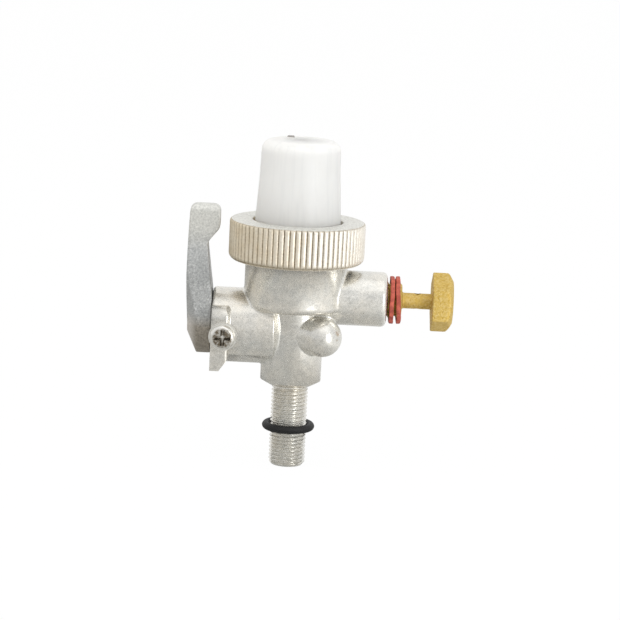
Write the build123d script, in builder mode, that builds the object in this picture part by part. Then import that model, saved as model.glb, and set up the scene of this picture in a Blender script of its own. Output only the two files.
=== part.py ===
"""Fuel strainer tap for a small diesel tank, in millimetres.

The origin is on the axis of the threaded stem, at the shoulder that seats against the
tank. The stem points down (-Z), the sediment cup up (+Z), the lever is at -X, the
outlet with its hollow bolt at +X, and the retaining screw faces -Y.
"""
import os
from math import acos, atan, cos, hypot, radians, sin, sqrt

from build123d import *

os.makedirs("parts", exist_ok=True)

# Threaded stem and the column above it
stem_d = 14.0
stem_length = 31.7
stem_end_chamfer = 1.2
stem_bore_d = 7.0
column_d = 23.3
column_height = 30.0
shoulder_width = 3.3
shoulder_rise = 1.9
column_root_r = 1.2

# Filter chamber and the threaded collar on top of it
chamber_d = 38.6
chamber_height = 19.5
chamber_edge_r = 2.6
chamber_bore_d = 31.6
chamber_floor_thickness = 11.0
collar_d = 44.0
collar_height = 7.0
collar_chamfer = 0.6

# Valve boss, a cylinder along X with a domed inner end
valve_z = 22.1
valve_boss_d = 28.6
valve_boss_left = 30.9
valve_dome_apex = 2.6
valve_dome_rise = 4.5
valve_mouth_r = 1.2
valve_root_r = 1.0
valve_bore_d = 14.0
valve_bore_end = 6.5
valve_mouth_chamfer = 0.6

# Pad and lug on the front of the valve boss, where the retaining screw enters
pad_width = 6.7
pad_front = 16.2
pad_back = 3.0
pad_drop = 15.2
pad_rise = 9.1
lug_corner = 3.2
lug_corner_rise = 4.6
pad_edge_r = 1.2
pad_top_r = 4.6
pad_root_r = 0.8

# Blind knob cast on the front right of the column
knob_d = 15.0
knob_azimuth = 42.0
knob_z = 20.7
knob_reach = 15.2
knob_root_r = 0.6

# Outlet boss along X and its passages
outlet_z = 34.6
outlet_boss_d = 21.0
outlet_end = 35.3
outlet_edge_r = 2.0
outlet_thread_d = 14.0
outlet_thread_depth = 15.5
outlet_root_r = 1.6
passage_d = 5.0
passage_end = 1.5
spigot_bore_d = 5.6
riser_d = 4.4
riser_tilt = 44.0
riser_foot_x = 1.5
riser_back = 3.0
riser_length = 18.5
spigot_d = 11.0
spigot_height = 4.0

# Ring nut
ring_wall = 3.9
ring_lip_thickness = 2.8
ring_hole_d = 34.4
ring_skirt = 1.4
ridge_count = 75
ridge_d = 1.9
ridge_depth = 0.75
ring_top_r = 1.2
ring_bottom_r = 2.6
ring_outline_gap = 0.1
thread_clearance = 0.05

# Sediment cup and its gasket
cup_flange_gap = 1.2
cup_flange_thickness = 2.5
cup_root_d = 32.9
cup_mid_d = 30.6
cup_top_d = 29.8
cup_mid_height = 20.0
cup_height = 36.1
cup_wall = 1.6
cup_corner_r = 4.0
gate_d = 2.7
gate_height = 0.8
gate_x = -4.2
gate_y = 5.0
gasket_thickness = 1.8
gasket_inset = 0.3
gasket_hole_d = 33.0
flange_clearance = 0.05

# Strainer on the spigot
strainer_d = 17.0
strainer_height = 25.0
strainer_flange = 1.1
strainer_flange_thickness = 2.0
strainer_clearance = 0.1
strainer_seal_thickness = 1.6
strainer_seal_width = 2.2
mesh_thickness = 0.4
cage_rib_count = 4
cage_rib_width = 2.0
cage_wall = 1.2
cage_hoop_height = 1.4
cap_thickness = 1.6
cap_skirt = 2.4
cap_skirt_wall = 0.8

# Lever
lever_gap = 0.3
lever_hub_d = 22.6
lever_hub_thickness = 9.3
lever_hub_rim_thickness = 5.4
lever_hub_flat_d = 6.0
lever_length = 46.5
lever_head_height = 12.0
lever_head_width = 11.6
lever_head_depth = 7.0
lever_head_corner = 3.0
lever_neck_height = 32.0
lever_neck_inset = 2.6
lever_neck_depth = 8.0
lever_bow = 0.9
lever_head_shift = 0.5
lever_crown_r = 2.8
lever_facet_rise = 20.0
lever_facet_half = 3.0

# Valve spool, its rings and the pin through the lever
spool_clearance = 0.05
spool_nose_gap = 0.5
spool_tail_gap = 0.4
spool_port_d = 5.0
spool_nose_chamfer = 0.5
spool_journal_d = 9.0
spool_journal_length = 7.0
spool_journal_gap = 0.3
journal_clearance = 0.02
ring_section = 1.9
ring_clearance = 0.03
ring_groove_width = 2.5
ring_inner_x = -6.6
ring_outer_x = -19.0
keeper_width = 4.2
keeper_depth = 1.9
pin_d = 2.6
pin_from_face = 3.4
pin_rise = 6.6
pin_recess = 0.4
pin_bore_d = 1.2
pin_clearance = 0.02

# Retaining screw and its washer
screw_from_mouth = 4.6
screw_drop = 1.6
screw_thread_d = 5.0
screw_thread_clearance = 0.02
screw_dog_d = 3.4
screw_dog_clearance = 0.6
screw_thread_length = 7.6
screw_head_d = 9.4
screw_head_height = 3.1
screw_dome_r = 1.8
washer_d = 10.8
washer_thickness = 0.9
cross_width = 1.6
cross_length = 6.2
cross_depth = 2.2
cross_taper = 14.0

# Hollow bolt at the outlet and its two sealing washers
bolt_clearance = 0.05
bolt_thread_length = 18.4
bolt_thread_out = 5.7
bolt_waist_d = 6.0
bolt_waist_length = 11.5
bolt_head_across_flats = 19.8
bolt_head_thickness = 8.0
bolt_head_face_d = 16.4
bolt_head_chamfer = 1.8
bolt_bore_d = 3.4
bolt_cross_d = 2.6
bolt_cross_from_thread = 6.0
bolt_bore_past_cross = 2.5
bolt_tip_chamfer = 1.0
bolt_waist_r = 1.0
seal_d = 18.4
seal_hole_d = 14.4
seal_thickness = 1.8
seal_edge_r = 0.4
seal_from_boss = 1.0
seal_gap = 0.1
seal_tilt = 3.4

# Rubber ring on the stem
stem_ring_section = 3.1
stem_ring_gap = 0.05
stem_ring_drop = 16.5

# How far a cutting shape runs past what it cuts
cut_margin = 1.0

# The ring nut, the cup's flange and the gasket take their width from the collar
ring_d = collar_d + 2 * ring_wall
cup_flange_d = collar_d - 2 * cup_flange_gap
gasket_d = cup_flange_d - 2 * gasket_inset

# Heights that follow from the sizes above
collar_bottom = column_height + chamber_height
collar_top = collar_bottom + collar_height
gasket_top = collar_top + gasket_thickness
flange_top = gasket_top + cup_flange_thickness
ring_lip_z = flange_top + flange_clearance
ring_top = ring_lip_z + ring_lip_thickness
ring_bottom = collar_bottom - ring_skirt
chamber_floor = column_height + chamber_floor_thickness
spigot_top = chamber_floor + spigot_height

# Places that follow from the sizes above
valve_axis = Axis((0, 0, valve_z), (1, 0, 0))
outlet_axis = Axis((0, 0, outlet_z), (1, 0, 0))
mouth_x = -valve_boss_left
lever_face_x = mouth_x - lever_gap
screw_x = mouth_x + screw_from_mouth
screw_z = valve_z - screw_drop
knob_dir = (cos(radians(knob_azimuth)), -sin(radians(knob_azimuth)), 0)


def edges_within(part, x_low, x_high, z_low, z_high, slack=0.1):
    """Edges of a part that lie wholly between two limits in X and two in Z."""
    found = []
    for edge in part.edges():
        box = edge.bounding_box()
        in_x = x_low - slack < box.min.X and box.max.X < x_high + slack
        in_z = z_low - slack < box.min.Z and box.max.Z < z_high + slack
        if in_x and in_z and edge.length > slack:
            found.append(edge)
    return found


# Pad for the retaining screw: a lug with a cut corner below, and a top that rolls back to the boss
pad_right = mouth_x + pad_width
pad_low = valve_z - pad_drop
pad_high = valve_z + pad_rise
with BuildPart() as screw_pad:
    with BuildSketch(Plane.XZ.offset(pad_back)):
        with BuildLine():
            Polyline(
                (mouth_x, pad_low),
                (pad_right - lug_corner, pad_low),
                (pad_right, pad_low + lug_corner_rise),
                (pad_right, pad_high),
                (mouth_x, pad_high),
                (mouth_x, pad_low),
            )
        make_face()
    extrude(amount=pad_front - pad_back)
    pad_face = screw_pad.faces().sort_by(Axis.Y)[0]
    fillet(pad_face.edges().sort_by(Axis.Z)[-1], pad_top_r)
    pad_face = screw_pad.faces().sort_by(Axis.Y)[0]
    fillet(pad_face.edges().sort_by(Axis.X)[-1], pad_edge_r)


# Cast body: the stem, column, chamber and collar are one turned form
with BuildPart() as body:
    with BuildSketch(Plane.YZ):
        with BuildLine():
            Polyline(
                (0, -stem_length),
                (stem_d / 2 - stem_end_chamfer, -stem_length),
                (stem_d / 2, -stem_length + stem_end_chamfer),
                (stem_d / 2, 0),
                (column_d / 2 - shoulder_width, 0),
                (column_d / 2, shoulder_rise),
                (column_d / 2, column_height),
                (chamber_d / 2, column_height),
                (chamber_d / 2, collar_bottom),
                (collar_d / 2, collar_bottom),
                (collar_d / 2, collar_top - collar_chamfer),
                (collar_d / 2 - collar_chamfer, collar_top),
                (0, collar_top),
                (0, -stem_length),
            )
        make_face()
    revolve(axis=Axis.Z)

    # The lower rim of the chamber is well rounded, and the column runs into it in a small hollow
    step = body.edges().filter_by(GeomType.CIRCLE).filter_by_position(
        Axis.Z, column_height - 0.01, column_height + 0.01
    )
    fillet(step.sort_by(SortBy.RADIUS)[-1], chamber_edge_r)
    step = body.edges().filter_by(GeomType.CIRCLE).filter_by_position(
        Axis.Z, column_height - 0.01, column_height + 0.01
    )
    fillet(step.sort_by(SortBy.RADIUS)[0], column_root_r)

    # Valve boss with a domed inner end, blended into the column and the chamber
    boss_r = valve_boss_d / 2
    valve_dome_r = (boss_r**2 + valve_dome_rise**2) / (2 * valve_dome_rise)
    dome_centre_x = -valve_dome_apex - valve_dome_r
    with BuildSketch(Plane.XZ):
        with BuildLine():
            rim = (-valve_dome_apex - valve_dome_rise, valve_z + boss_r)
            middle = (dome_centre_x + sqrt(valve_dome_r**2 - (boss_r / 2) ** 2), valve_z + boss_r / 2)
            Polyline((-valve_dome_apex, valve_z), (mouth_x, valve_z), (mouth_x, valve_z + boss_r), rim)
            ThreePointArc(rim, middle, (-valve_dome_apex, valve_z))
        valve_profile = make_face()
        fillet(valve_profile.vertices().group_by(Axis.Y)[-1].sort_by(Axis.X)[0], valve_mouth_r)
    revolve(axis=valve_axis)
    fillet(edges_within(body, -chamber_d / 2, 0, valve_z - boss_r, valve_z + boss_r), valve_root_r)

    # Outlet boss with a rounded end
    with BuildSketch(Plane.XZ):
        with BuildLine():
            Polyline(
                (0, outlet_z),
                (outlet_end, outlet_z),
                (outlet_end, outlet_z + outlet_boss_d / 2),
                (0, outlet_z + outlet_boss_d / 2),
                (0, outlet_z),
            )
        outlet_profile = make_face()
        fillet(outlet_profile.vertices().group_by(Axis.Y)[-1].sort_by(Axis.X)[-1], outlet_edge_r)
    revolve(axis=outlet_axis)
    boss_low = outlet_z - outlet_boss_d / 2
    boss_high = outlet_z + outlet_boss_d / 2
    fillet(edges_within(body, column_d / 4, chamber_d / 2, boss_low, boss_high), outlet_root_r)

    # Blind knob: a short round stub with a ball end
    knob_side = (-knob_dir[1], knob_dir[0], 0)
    with BuildSketch(Plane(origin=(0, 0, knob_z), x_dir=knob_dir, z_dir=knob_side)):
        with BuildLine():
            Polyline((knob_reach, knob_d / 2), (0, knob_d / 2), (0, 0), (knob_reach + knob_d / 2, 0))
            RadiusArc((knob_reach, knob_d / 2), (knob_reach + knob_d / 2, 0), knob_d / 2)
        make_face()
    revolve(axis=Axis((0, 0, knob_z), knob_dir))
    fillet(body.edges(Select.NEW), knob_root_r)

    # Pad of the retaining screw, run into the boss along its right flank
    add(screw_pad.part)
    flank = ShapeList(edges_within(body, pad_right, pad_right, pad_low, pad_high))
    fillet(flank.filter_by(GeomType.CIRCLE).sort_by(SortBy.LENGTH)[-1], pad_root_r)

    # Chamber, open at the top, with a spigot in the middle of its floor
    with BuildSketch(Plane.XY.offset(collar_top)):
        Circle(chamber_bore_d / 2)
    extrude(amount=chamber_floor - collar_top, mode=Mode.SUBTRACT)
    with BuildSketch(Plane.XY.offset(chamber_floor)):
        Circle(spigot_d / 2)
    extrude(amount=spigot_height)

    # Valve bore, blind at its inner end, with a small lead-in at its mouth
    with BuildSketch(Plane.YZ.offset(mouth_x)):
        with Locations((0, valve_z)):
            Circle(valve_bore_d / 2)
    extrude(amount=valve_bore_end - mouth_x, mode=Mode.SUBTRACT)
    mouth = body.edges(Select.LAST).filter_by(GeomType.CIRCLE).sort_by(Axis.X)[0]
    chamfer(mouth, valve_mouth_chamfer)

    # Fuel way up the stem, from the valve to the chamber, and from the spigot to the outlet
    with BuildSketch(Plane.XY.offset(-stem_length)):
        Circle(stem_bore_d / 2)
    extrude(amount=stem_length + valve_z, mode=Mode.SUBTRACT)
    riser_dir = (-sin(radians(riser_tilt)), 0, cos(radians(riser_tilt)))
    riser_foot = Vector(-riser_foot_x, 0, valve_z + valve_bore_d / 2) - Vector(*riser_dir) * riser_back
    with BuildSketch(Plane(origin=riser_foot, z_dir=riser_dir)):
        Circle(riser_d / 2)
    extrude(amount=riser_back + riser_length, mode=Mode.SUBTRACT)
    with BuildSketch(Plane.XY.offset(spigot_top)):
        Circle(spigot_bore_d / 2)
    extrude(amount=outlet_z - spigot_top, mode=Mode.SUBTRACT)
    with BuildSketch(Plane.YZ.offset(outlet_end)):
        with Locations((0, outlet_z)):
            Circle(passage_d / 2)
    extrude(amount=-outlet_end - passage_end, mode=Mode.SUBTRACT)
    with BuildSketch(Plane.YZ.offset(outlet_end)):
        with Locations((0, outlet_z)):
            Circle(outlet_thread_d / 2)
    extrude(amount=-outlet_thread_depth, mode=Mode.SUBTRACT)

    # Hole of the retaining screw, from the pad into the valve bore
    with BuildSketch(Plane.XZ.offset(pad_front)):
        with Locations((screw_x, screw_z)):
            Circle(screw_thread_d / 2 + screw_thread_clearance)
    extrude(amount=-(pad_front - valve_bore_d / 4), mode=Mode.SUBTRACT)

body.part.label = "body"
export_step(body.part, "parts/body.step")


# Sediment cup: moulded, closed at the top, with a flat flange under the ring nut's lip
cup_base = gasket_top
cup_end = cup_base + cup_height
with BuildPart() as sediment_cup:
    with BuildSketch(Plane.XZ) as cup_profile:
        with BuildLine():
            Polyline(
                (cup_root_d / 2 - cup_wall, cup_base),
                (cup_flange_d / 2, cup_base),
                (cup_flange_d / 2, flange_top),
                (cup_root_d / 2, flange_top),
                (cup_mid_d / 2, flange_top + cup_mid_height),
                (cup_top_d / 2, cup_end),
                (0, cup_end),
                (0, cup_end - cup_wall),
                (cup_top_d / 2 - cup_wall, cup_end - cup_wall),
                (cup_mid_d / 2 - cup_wall, flange_top + cup_mid_height),
                (cup_root_d / 2 - cup_wall, cup_base),
            )
        make_face()
        fillet(cup_profile.vertices().sort_by_distance((cup_top_d / 2, cup_end))[0], cup_corner_r)
        inner_crown = (cup_top_d / 2 - cup_wall, cup_end - cup_wall)
        fillet(cup_profile.vertices().sort_by_distance(inner_crown)[0], cup_corner_r - cup_wall)
    revolve(axis=Axis.Z)

    # Stub of the moulding gate on the closed end
    with BuildSketch(Plane.XY.offset(cup_end)):
        with Locations((gate_x, gate_y)):
            Circle(gate_d / 2)
    extrude(amount=gate_height)
sediment_cup.part.label = "sediment_cup"
export_step(sediment_cup.part, "parts/sediment_cup.step")


# Flat gasket between the collar and the cup's flange
with BuildPart() as cup_gasket:
    with BuildSketch(Plane.XY.offset(collar_top)):
        Circle(gasket_d / 2)
        Circle(gasket_hole_d / 2, mode=Mode.SUBTRACT)
    extrude(amount=gasket_thickness)
cup_gasket.part.label = "cup_gasket"
export_step(cup_gasket.part, "parts/cup_gasket.step")


# Ring nut: straight round ridges all round, cut to a turned outline, and bored for collar and cup
outline_r = ring_d / 2 + ring_outline_gap
with BuildPart() as ring_nut:
    with BuildSketch(Plane.XY.offset(ring_bottom)):
        Circle(ring_d / 2 - ridge_depth)
        with PolarLocations(ring_d / 2 - ridge_d / 2, ridge_count):
            Circle(ridge_d / 2)
    extrude(amount=ring_top - ring_bottom)
    with BuildSketch(Plane.XZ) as turned:
        with BuildLine():
            Polyline(
                (0, ring_bottom),
                (outline_r, ring_bottom),
                (outline_r, ring_top),
                (0, ring_top),
                (0, ring_bottom),
            )
        make_face()
        fillet(turned.vertices().sort_by_distance((outline_r, ring_bottom))[0], ring_bottom_r)
        fillet(turned.vertices().sort_by_distance((outline_r, ring_top))[0], ring_top_r)
    revolve(axis=Axis.Z, mode=Mode.INTERSECT)
    with BuildSketch(Plane.XY.offset(ring_bottom)):
        Circle(collar_d / 2 + thread_clearance)
    extrude(amount=ring_lip_z - ring_bottom, mode=Mode.SUBTRACT)
    with BuildSketch(Plane.XY.offset(ring_top)):
        Circle(ring_hole_d / 2)
    extrude(amount=-ring_lip_thickness, mode=Mode.SUBTRACT)
ring_nut.part.label = "ring_nut"
export_step(ring_nut.part, "parts/ring_nut.step")


# Rubber seal under the strainer, round the spigot
with BuildPart() as strainer_seal:
    with BuildSketch(Plane.XY.offset(chamber_floor)):
        Circle(spigot_d / 2 + strainer_clearance + strainer_seal_width)
        Circle(spigot_d / 2 + strainer_clearance, mode=Mode.SUBTRACT)
    extrude(amount=strainer_seal_thickness)
strainer_seal.part.label = "strainer_seal"
export_step(strainer_seal.part, "parts/strainer_seal.step")


# Moulded strainer frame: a base on the spigot, four ribs and a top hoop that carry the gauze
frame_z = chamber_floor + strainer_seal_thickness
frame_top = frame_z + strainer_height - cap_thickness
frame_r = strainer_d / 2 - mesh_thickness - strainer_clearance
with BuildPart() as strainer_frame:
    with BuildSketch(Plane.XY.offset(frame_z)):
        Circle(strainer_d / 2 + strainer_flange)
        Circle(spigot_d / 2 + strainer_clearance, mode=Mode.SUBTRACT)
    extrude(amount=strainer_flange_thickness)
    with BuildSketch(Plane.XY.offset(frame_z + strainer_flange_thickness)):
        with PolarLocations(frame_r - cage_wall / 2, cage_rib_count, start_angle=45):
            Rectangle(cage_wall, cage_rib_width)
        Circle(frame_r, mode=Mode.INTERSECT)
    extrude(amount=frame_top - frame_z - strainer_flange_thickness)
    with BuildSketch(Plane.XY.offset(frame_top - cage_hoop_height)):
        Circle(frame_r)
        Circle(frame_r - cage_wall, mode=Mode.SUBTRACT)
    extrude(amount=cage_hoop_height)
strainer_frame.part.label = "strainer_frame"
export_step(strainer_frame.part, "parts/strainer_frame.step")


# Gauze: a rolled tube round the frame
mesh_z = frame_z + strainer_flange_thickness
with BuildPart() as strainer_mesh:
    with BuildSketch(Plane.XY.offset(mesh_z)):
        Circle(strainer_d / 2)
        Circle(strainer_d / 2 - mesh_thickness, mode=Mode.SUBTRACT)
    extrude(amount=frame_top - mesh_z)
strainer_mesh.part.label = "strainer_mesh"
export_step(strainer_mesh.part, "parts/strainer_mesh.step")


# Cap over the strainer's top, with a skirt round the gauze
with BuildPart() as strainer_cap:
    with BuildSketch(Plane.XY.offset(frame_top)):
        Circle(strainer_d / 2 + strainer_clearance + cap_skirt_wall)
    extrude(amount=cap_thickness)
    fillet(strainer_cap.edges().group_by(Axis.Z)[-1], cap_skirt_wall / 2)
    with BuildSketch(Plane.XY.offset(frame_top)):
        Circle(strainer_d / 2 + strainer_clearance + cap_skirt_wall)
        Circle(strainer_d / 2 + strainer_clearance, mode=Mode.SUBTRACT)
    extrude(amount=-cap_skirt)
strainer_cap.part.label = "strainer_cap"
export_step(strainer_cap.part, "parts/strainer_cap.step")


# Cast lever: a conical hub on the valve axis, and an arm that leaves it along tangents to a broad head
hub_r = lever_hub_d / 2
hub_face_x = lever_face_x - lever_hub_thickness
hub_rim_x = lever_face_x - lever_hub_rim_thickness
head_z = valve_z + lever_length
head_low = head_z - lever_head_height
neck_z = valve_z + lever_neck_height
neck_half = lever_neck_depth / 2
head_right_x = hub_face_x - lever_head_shift + lever_head_width
neck_x = lever_face_x - lever_neck_inset
tangent_turn = atan(neck_half / lever_neck_height) + acos(hub_r / hypot(neck_half, lever_neck_height))
root_half = hub_r * sin(tangent_turn)
root_z = valve_z + hub_r * cos(tangent_turn)
facet_z = valve_z + lever_facet_rise
facet_half = root_half + (neck_half - root_half) * (facet_z - root_z) / (neck_z - root_z)
with BuildPart() as lever:
    with BuildSketch(Plane.XZ) as arm_face:
        with BuildLine():
            arm_foot = (hub_face_x, valve_z)
            head_left = (hub_face_x - lever_head_shift, head_z - lever_head_corner)
            ThreePointArc(arm_foot, (hub_face_x - lever_bow, valve_z + lever_length / 2), head_left)
            Line(head_left, (hub_face_x - lever_head_shift, head_z))
            Line((hub_face_x - lever_head_shift, head_z), (head_right_x, head_z))
            Line((head_right_x, head_z), (head_right_x, head_low + lever_head_corner))
            Line((head_right_x, head_low + lever_head_corner), (neck_x, neck_z))
            Line((neck_x, neck_z), (lever_face_x, valve_z + hub_r))
            Line((lever_face_x, valve_z + hub_r), (lever_face_x, valve_z))
            Line((lever_face_x, valve_z), arm_foot)
        make_face()
        fillet(arm_face.vertices().group_by(Axis.Y)[-1], lever_head_corner)
        shoulder = (head_right_x, head_low + lever_head_corner)
        fillet(arm_face.vertices().sort_by_distance(shoulder)[0], lever_head_corner)
        fillet(arm_face.vertices().sort_by_distance((neck_x, neck_z))[0], lever_head_corner)
    extrude(amount=hub_r, both=True)
    with BuildSketch(Plane.YZ.offset(lever_face_x)) as arm_side:
        with BuildLine():
            Polyline(
                (-root_half, root_z),
                (-neck_half, neck_z),
                (-lever_head_depth / 2, head_z),
                (lever_head_depth / 2, head_z),
                (neck_half, neck_z),
                (root_half, root_z),
                (0, valve_z),
                (-root_half, root_z),
            )
        make_face()
        fillet(arm_side.vertices().group_by(Axis.Y)[-1], lever_crown_r)
    extrude(amount=2 * lever_head_width, both=True, mode=Mode.INTERSECT)

    # A facet on each side brings the arm down to the cone of the hub
    for side in (1, -1):
        rim_corner = Vector(hub_rim_x, side * root_half, root_z)
        face_corner = Vector(hub_face_x, side * lever_facet_half, root_z)
        facet_end = Vector(hub_face_x - lever_bow, side * facet_half, facet_z)
        outward = (face_corner - rim_corner).cross(facet_end - rim_corner) * side
        split(bisect_by=Plane(origin=rim_corner, z_dir=outward), keep=Keep.BOTTOM)
    with BuildSketch(Plane.XZ) as hub_profile:
        with BuildLine():
            Polyline(
                (hub_face_x, valve_z + lever_hub_flat_d / 2),
                (hub_face_x, valve_z),
                (lever_face_x, valve_z),
                (lever_face_x, valve_z + hub_r),
                (hub_rim_x, valve_z + hub_r),
                (hub_face_x, valve_z + lever_hub_flat_d / 2),
            )
        make_face()
    revolve(axis=valve_axis)

    # Blind seat for the spool's journal, and the hole of the pin from below
    with BuildSketch(Plane.YZ.offset(lever_face_x)):
        with Locations((0, valve_z)):
            Circle(spool_journal_d / 2 + journal_clearance)
    extrude(amount=-(spool_journal_length + spool_journal_gap), mode=Mode.SUBTRACT)
    with BuildSketch(Plane.XY.offset(valve_z - hub_r)):
        with Locations((lever_face_x - pin_from_face, 0)):
            Circle(pin_d / 2 + pin_clearance)
    extrude(amount=hub_r + pin_rise, mode=Mode.SUBTRACT)
lever.part.label = "lever"
export_step(lever.part, "parts/lever.step")


# Valve spool: a ported plug with two ring grooves, a keeper groove and a journal for the lever
spool_r = valve_bore_d / 2 - spool_clearance
spool_nose_x = valve_bore_end - spool_nose_gap
spool_tail_x = mouth_x + spool_tail_gap
journal_end_x = lever_face_x - spool_journal_length
ring_r = valve_bore_d / 2 - ring_clearance - ring_section / 2
groove_r = ring_r - ring_section / 2 - ring_clearance
with BuildPart() as valve_spool:
    with BuildSketch(Plane.YZ.offset(spool_nose_x)):
        with Locations((0, valve_z)):
            Circle(spool_r)
    extrude(amount=spool_tail_x - spool_nose_x)
    chamfer(valve_spool.edges().group_by(Axis.X)[-1], spool_nose_chamfer)
    with BuildSketch(Plane.YZ.offset(spool_tail_x)):
        with Locations((0, valve_z)):
            Circle(spool_journal_d / 2)
    extrude(amount=journal_end_x - spool_tail_x)
    for groove_x, groove_width, bottom_r in (
        (ring_inner_x, ring_groove_width, groove_r),
        (ring_outer_x, ring_groove_width, groove_r),
        (screw_x, keeper_width, spool_r - keeper_depth),
    ):
        with BuildSketch(Plane.YZ.offset(groove_x - groove_width / 2)):
            with Locations((0, valve_z)):
                Circle(spool_r + cut_margin)
                Circle(bottom_r, mode=Mode.SUBTRACT)
        extrude(amount=groove_width, mode=Mode.SUBTRACT)
    with BuildSketch(Plane.XY.offset(valve_z)):
        Circle(spool_port_d / 2)
    extrude(amount=valve_bore_d, both=True, mode=Mode.SUBTRACT)
    with BuildSketch(Plane.XY.offset(valve_z)):
        with Locations((lever_face_x - pin_from_face, 0)):
            Circle(pin_d / 2 + pin_clearance)
    extrude(amount=spool_journal_d, both=True, mode=Mode.SUBTRACT)
valve_spool.part.label = "valve_spool"
export_step(valve_spool.part, "parts/valve_spool.step")


# Rubber rings in the spool's two grooves
for ring_name, ring_x in (("spool_ring_inner", ring_inner_x), ("spool_ring_outer", ring_outer_x)):
    with BuildPart() as spool_ring:
        with BuildSketch(Plane.XZ):
            with Locations((ring_x, valve_z + ring_r)):
                Circle(ring_section / 2)
        revolve(axis=valve_axis)
    spool_ring.part.label = ring_name
    export_step(spool_ring.part, "parts/" + ring_name + ".step")


# Spring pin that holds the lever on the spool
with BuildPart() as lever_pin:
    with BuildSketch(Plane.XY.offset(valve_z - hub_r + pin_recess)):
        with Locations((lever_face_x - pin_from_face, 0)):
            Circle(pin_d / 2)
            Circle(pin_bore_d / 2, mode=Mode.SUBTRACT)
    extrude(amount=hub_r + pin_rise - pin_recess)
lever_pin.part.label = "lever_pin"
export_step(lever_pin.part, "parts/lever_pin.step")


# Retaining screw: a pan head with a cross recess, a thread in the pad and a dog point in the groove
dog_end_y = spool_r - keeper_depth + screw_dog_clearance
with BuildPart() as retaining_screw:
    with BuildSketch(Plane.XZ.offset(pad_front + washer_thickness)):
        with Locations((screw_x, screw_z)):
            Circle(screw_head_d / 2)
    extrude(amount=screw_head_height)
    fillet(retaining_screw.edges().filter_by(GeomType.CIRCLE).sort_by(Axis.Y)[0], screw_dome_r)
    with BuildSketch(Plane.XZ.offset(pad_front + washer_thickness + screw_head_height)):
        with Locations((screw_x, screw_z)):
            Rectangle(cross_length, cross_width)
            Rectangle(cross_width, cross_length)
    extrude(amount=-cross_depth, taper=cross_taper, mode=Mode.SUBTRACT)
    with BuildSketch(Plane.XZ.offset(pad_front + washer_thickness)):
        with Locations((screw_x, screw_z)):
            Circle(screw_thread_d / 2)
    extrude(amount=-(washer_thickness + screw_thread_length))
    with BuildSketch(Plane.XZ.offset(pad_front - screw_thread_length)):
        with Locations((screw_x, screw_z)):
            Circle(screw_dog_d / 2)
    extrude(amount=-(pad_front - screw_thread_length - dog_end_y))
retaining_screw.part.label = "retaining_screw"
export_step(retaining_screw.part, "parts/retaining_screw.step")


# Plain washer under the screw's head
with BuildPart() as screw_washer:
    with BuildSketch(Plane.XZ.offset(pad_front)):
        with Locations((screw_x, screw_z)):
            Circle(washer_d / 2)
            Circle(screw_thread_d / 2 + screw_dog_clearance / 2, mode=Mode.SUBTRACT)
    extrude(amount=washer_thickness)
screw_washer.part.label = "screw_washer"
export_step(screw_washer.part, "parts/screw_washer.step")


# Hollow bolt: threaded end, slim waist with a cross hole, and a hexagon head
thread_end_x = outlet_end + bolt_thread_out
thread_start_x = thread_end_x - bolt_thread_length
head_x = thread_end_x + bolt_waist_length
bolt_r = outlet_thread_d / 2 - bolt_clearance
hex_r = bolt_head_across_flats / sqrt(3)
with BuildPart() as banjo_bolt:
    with BuildSketch(Plane.YZ.offset(head_x)):
        with Locations((0, outlet_z)):
            RegularPolygon(bolt_head_across_flats / 2, 6, major_radius=False, rotation=30)
    extrude(amount=bolt_head_thickness)
    with BuildSketch(Plane.XZ):
        with BuildLine():
            Polyline(
                (head_x, outlet_z),
                (head_x, outlet_z + hex_r + cut_margin),
                (head_x + bolt_head_thickness - bolt_head_chamfer, outlet_z + hex_r),
                (head_x + bolt_head_thickness, outlet_z + bolt_head_face_d / 2),
                (head_x + bolt_head_thickness, outlet_z),
                (head_x, outlet_z),
            )
        make_face()
    revolve(axis=outlet_axis, mode=Mode.INTERSECT)
    with BuildSketch(Plane.XZ):
        with BuildLine():
            Polyline(
                (thread_start_x, outlet_z),
                (thread_start_x, outlet_z + bolt_r - bolt_tip_chamfer),
                (thread_start_x + bolt_tip_chamfer, outlet_z + bolt_r),
                (thread_end_x - bolt_tip_chamfer, outlet_z + bolt_r),
                (thread_end_x, outlet_z + bolt_r - bolt_tip_chamfer),
                (thread_end_x, outlet_z + bolt_waist_d / 2),
                (head_x, outlet_z + bolt_waist_d / 2),
                (head_x, outlet_z),
                (thread_start_x, outlet_z),
            )
        shank = make_face()
        inner = shank.vertices().filter_by_position(Axis.X, thread_end_x - 0.01, thread_end_x + 0.01)
        fillet(inner.sort_by(Axis.Y)[0], bolt_waist_r)
    revolve(axis=outlet_axis)
    cross_x = thread_end_x + bolt_cross_from_thread
    with BuildSketch(Plane.YZ.offset(thread_start_x)):
        with Locations((0, outlet_z)):
            Circle(bolt_bore_d / 2)
    extrude(amount=cross_x + bolt_bore_past_cross - thread_start_x, mode=Mode.SUBTRACT)
    with BuildSketch(Plane.XY.offset(outlet_z)):
        with Locations((cross_x, 0)):
            Circle(bolt_cross_d / 2)
    extrude(amount=bolt_waist_d, both=True, mode=Mode.SUBTRACT)
banjo_bolt.part.label = "banjo_bolt"
export_step(banjo_bolt.part, "parts/banjo_bolt.step")


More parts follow.
